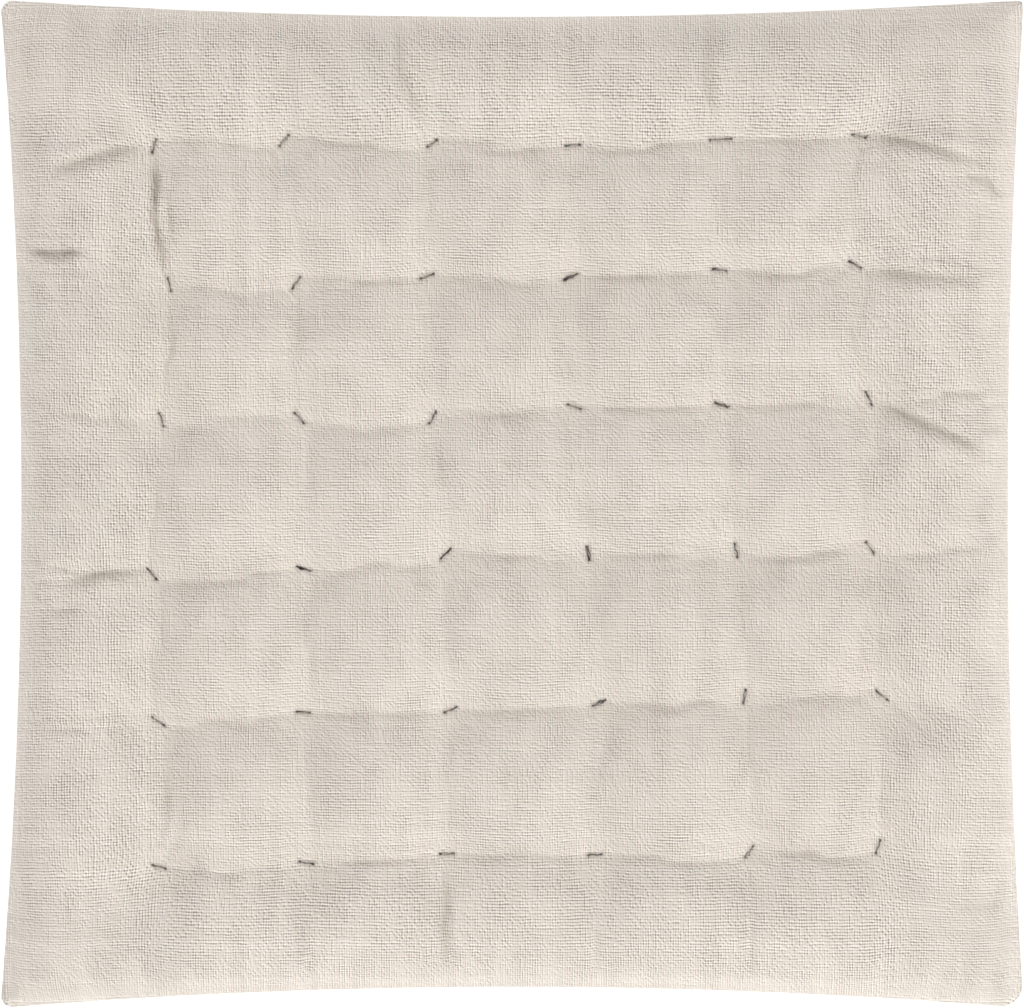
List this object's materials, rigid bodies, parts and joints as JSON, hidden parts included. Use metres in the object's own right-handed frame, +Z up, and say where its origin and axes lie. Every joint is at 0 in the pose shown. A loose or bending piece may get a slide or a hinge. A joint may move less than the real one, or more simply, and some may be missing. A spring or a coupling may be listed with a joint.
{
  "type": "chair seat pad",
  "caption": "Square knife-edged seat pad in natural plain-woven cloth, tufted through in a square grid with short thread ties.",
  "frame": {"origin": "on the chair seat, under the middle of the pad", "axes": "+Z up through the pad, +X to its right, +Y to its back, away from the closed turning gap"},
  "size_m": [0.3995, 0.3935, 0.0392],
  "materials": {
    "cover_fabric": "natural oatmeal plain weave, matt",
    "wadding": "white needled fibre wadding",
    "tuft_thread": "dark taupe twisted thread, several strands laid together",
    "seam_thread": "natural sewing thread"
  },
  "bodies": {
    "root": {"top_panel": "cover_fabric", "bottom_panel": "cover_fabric", "wadding_upper": "wadding", "wadding_core": "wadding", "wadding_lower": "wadding", "seam_needle_thread": "seam_thread", "seam_bobbin_thread": "seam_thread", "closing_stitches": "seam_thread", "tuft_tie_r1_c1": "tuft_thread", "tuft_tie_r1_c2": "tuft_thread", "tuft_tie_r1_c3": "tuft_thread", "tuft_tie_r1_c4": "tuft_thread", "tuft_tie_r1_c5": "tuft_thread", "tuft_tie_r1_c6": "tuft_thread", "tuft_tie_r2_c1": "tuft_thread", "tuft_tie_r2_c2": "tuft_thread", "tuft_tie_r2_c3": "tuft_thread", "tuft_tie_r2_c4": "tuft_thread", "tuft_tie_r2_c5": "tuft_thread", "tuft_tie_r2_c6": "tuft_thread", "tuft_tie_r3_c1": "tuft_thread", "tuft_tie_r3_c2": "tuft_thread", "tuft_tie_r3_c3": "tuft_thread", "tuft_tie_r3_c4": "tuft_thread", "tuft_tie_r3_c5": "tuft_thread", "tuft_tie_r3_c6": "tuft_thread", "tuft_tie_r4_c1": "tuft_thread", "tuft_tie_r4_c2": "tuft_thread", "tuft_tie_r4_c3": "tuft_thread", "tuft_tie_r4_c4": "tuft_thread", "tuft_tie_r4_c5": "tuft_thread", "tuft_tie_r4_c6": "tuft_thread", "tuft_tie_r5_c1": "tuft_thread", "tuft_tie_r5_c2": "tuft_thread", "tuft_tie_r5_c3": "tuft_thread", "tuft_tie_r5_c4": "tuft_thread", "tuft_tie_r5_c5": "tuft_thread", "tuft_tie_r5_c6": "tuft_thread", "tuft_tie_r6_c1": "tuft_thread", "tuft_tie_r6_c2": "tuft_thread", "tuft_tie_r6_c3": "tuft_thread", "tuft_tie_r6_c4": "tuft_thread", "tuft_tie_r6_c5": "tuft_thread", "tuft_tie_r6_c6": "tuft_thread"}
  },
  "joints": []
}
